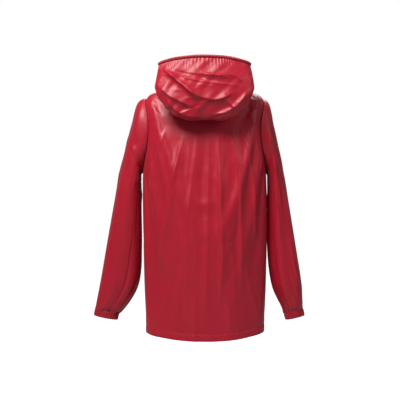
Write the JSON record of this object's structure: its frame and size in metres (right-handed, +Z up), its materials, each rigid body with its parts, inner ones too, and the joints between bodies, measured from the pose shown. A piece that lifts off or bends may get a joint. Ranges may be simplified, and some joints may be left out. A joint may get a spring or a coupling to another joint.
{
  "type": "waterproof jacket",
  "caption": "Hooded waterproof shell jacket with full front zip, gathered cuffs, zipped hand pockets and a hood lying back.",
  "frame": {"origin": "the bearing point of a hook under the hanger loop, at the inside of the back of the neck", "axes": "+Z up along the wearer's height, -Y the way the wearer faces, +X to the wearer's left"},
  "size_m": [0.615, 0.2963, 0.8017],
  "materials": {
    "body_red": "thin coated nylon with a soft gloss",
    "sleeve_red": "thin coated nylon with a soft gloss",
    "hem_red": "folded coated nylon",
    "lining_red": "matt uncoated side",
    "elastic": "woven elastic",
    "neck_trim": "woven tape",
    "care_label": "printed satin, left blank",
    "zip_tape": "woven tape and moulded coil",
    "zip_metal": "satin",
    "zip_pull": "moulded"
  },
  "bodies": {
    "torso": {"back_panel": "body_red", "left_side_panel": "body_red", "right_side_panel": "body_red", "back_hem_band": "hem_red", "left_side_hem_band": "hem_red", "right_side_hem_band": "hem_red", "left_collar": "body_red", "right_collar": "body_red", "neck_binding": "neck_trim", "hanger_loop": "neck_trim", "neck_label": "neck_trim", "care_label": "care_label"},
    "left_front": {"left_front_panel": "body_red", "left_chin_panel": "body_red", "left_front_hem_band": "hem_red", "left_zip_tape": "zip_tape", "left_zip_teeth": "zip_tape", "left_top_stop": "zip_metal", "left_pocket_zip": "zip_tape", "left_pocket_bag": "lining_red", "storm_guard": "lining_red", "retainer_box": "zip_metal"},
    "right_front": {"right_front_panel": "body_red", "right_chin_panel": "body_red", "right_front_hem_band": "hem_red", "right_zip_tape": "zip_tape", "right_zip_teeth": "zip_tape", "right_top_stop": "zip_metal", "right_pocket_zip": "zip_tape", "right_pocket_bag": "lining_red", "insertion_pin": "zip_metal"},
    "zip_slider": {"zip_slider": "zip_metal"},
    "zip_pull": {"zip_pull": "zip_pull"},
    "hood": {"hood_centre_panel": "sleeve_red", "left_hood_panel": "sleeve_red", "right_hood_panel": "sleeve_red", "hood_rim_channel": "hem_red", "hood_elastic": "elastic"},
    "left_pocket_slider": {"left_pocket_slider": "zip_metal"},
    "left_pocket_pull": {"left_pocket_pull": "zip_pull"},
    "left_sleeve": {"left_upper_sleeve": "sleeve_red", "left_elbow": "sleeve_red"},
    "left_forearm": {"left_lower_sleeve": "sleeve_red", "left_cuff": "hem_red", "left_cuff_elastic": "elastic"},
    "right_pocket_slider": {"right_pocket_slider": "zip_metal"},
    "right_pocket_pull": {"right_pocket_pull": "zip_pull"},
    "right_sleeve": {"right_upper_sleeve": "sleeve_red", "right_elbow": "sleeve_red"},
    "right_forearm": {"right_lower_sleeve": "sleeve_red", "right_cuff": "hem_red", "right_cuff_elastic": "elastic"}
  },
  "joints": [
    {"name": "left_sleeve_raise", "type": "hinge", "parent": "torso", "child": "left_sleeve", "pos_m": [0.172, -0.057, -0.021], "axis": [0, -1, 0], "range_deg": [0, 45]},
    {"name": "left_elbow_bend", "type": "hinge", "parent": "left_sleeve", "child": "left_forearm", "pos_m": [0.227, -0.067, -0.324], "axis": [-1, 0, 0], "range_deg": [0, 75], "deforming": ["left_elbow"]},
    {"name": "left_front_open", "type": "hinge", "parent": "torso", "child": "left_front", "pos_m": [0.066, -0.1455, -0.03], "axis": [-0.0636, 0.0535, 0.9965], "range_deg": [0, 50]},
    {"name": "right_sleeve_raise", "type": "hinge", "parent": "torso", "child": "right_sleeve", "pos_m": [-0.172, -0.057, -0.021], "axis": [0, 1, 0], "range_deg": [0, 45]},
    {"name": "right_elbow_bend", "type": "hinge", "parent": "right_sleeve", "child": "right_forearm", "pos_m": [-0.219, -0.067, -0.324], "axis": [-1, 0, 0], "range_deg": [0, 75], "deforming": ["right_elbow"]},
    {"name": "right_front_open", "type": "hinge", "parent": "torso", "child": "right_front", "pos_m": [-0.066, -0.1455, -0.03], "axis": [-0.0636, -0.0535, -0.9965], "range_deg": [0, 50]},
    {"name": "zip_slide", "type": "slide", "parent": "left_front", "child": "zip_slider", "axis": [0, 0.0748, 0.9972], "range_m": [-0.65, 0]},
    {"name": "zip_pull_swing", "type": "hinge", "parent": "zip_slider", "child": "zip_pull", "pos_m": [0, -0.14795, -0.02362], "axis": [-1, 0, 0], "range_deg": [0, 150]},
    {"name": "left_pocket_slide", "type": "slide", "parent": "left_front", "child": "left_pocket_slider", "axis": [0.0132, 0.0725, 0.9973], "range_m": [-0.125, 0]},
    {"name": "left_pocket_pull_swing", "type": "hinge", "parent": "left_pocket_slider", "child": "left_pocket_pull", "pos_m": [0.07321, -0.17611, -0.48086], "axis": [-0.9774, -0.2096, 0.0282], "range_deg": [0, 150]},
    {"name": "right_pocket_slide", "type": "slide", "parent": "right_front", "child": "right_pocket_slider", "axis": [-0.0132, 0.0725, 0.9973], "range_m": [-0.125, 0]},
    {"name": "right_pocket_pull_swing", "type": "hinge", "parent": "right_pocket_slider", "child": "right_pocket_pull", "pos_m": [-0.07321, -0.17611, -0.48086], "axis": [-0.9774, 0.2096, -0.0282], "range_deg": [0, 150]},
    {"name": "hood_raise", "type": "hinge", "parent": "torso", "child": "hood", "pos_m": [0, 0, 0.022], "axis": [1, 0, 0], "range_deg": [0, 95]}
  ]
}
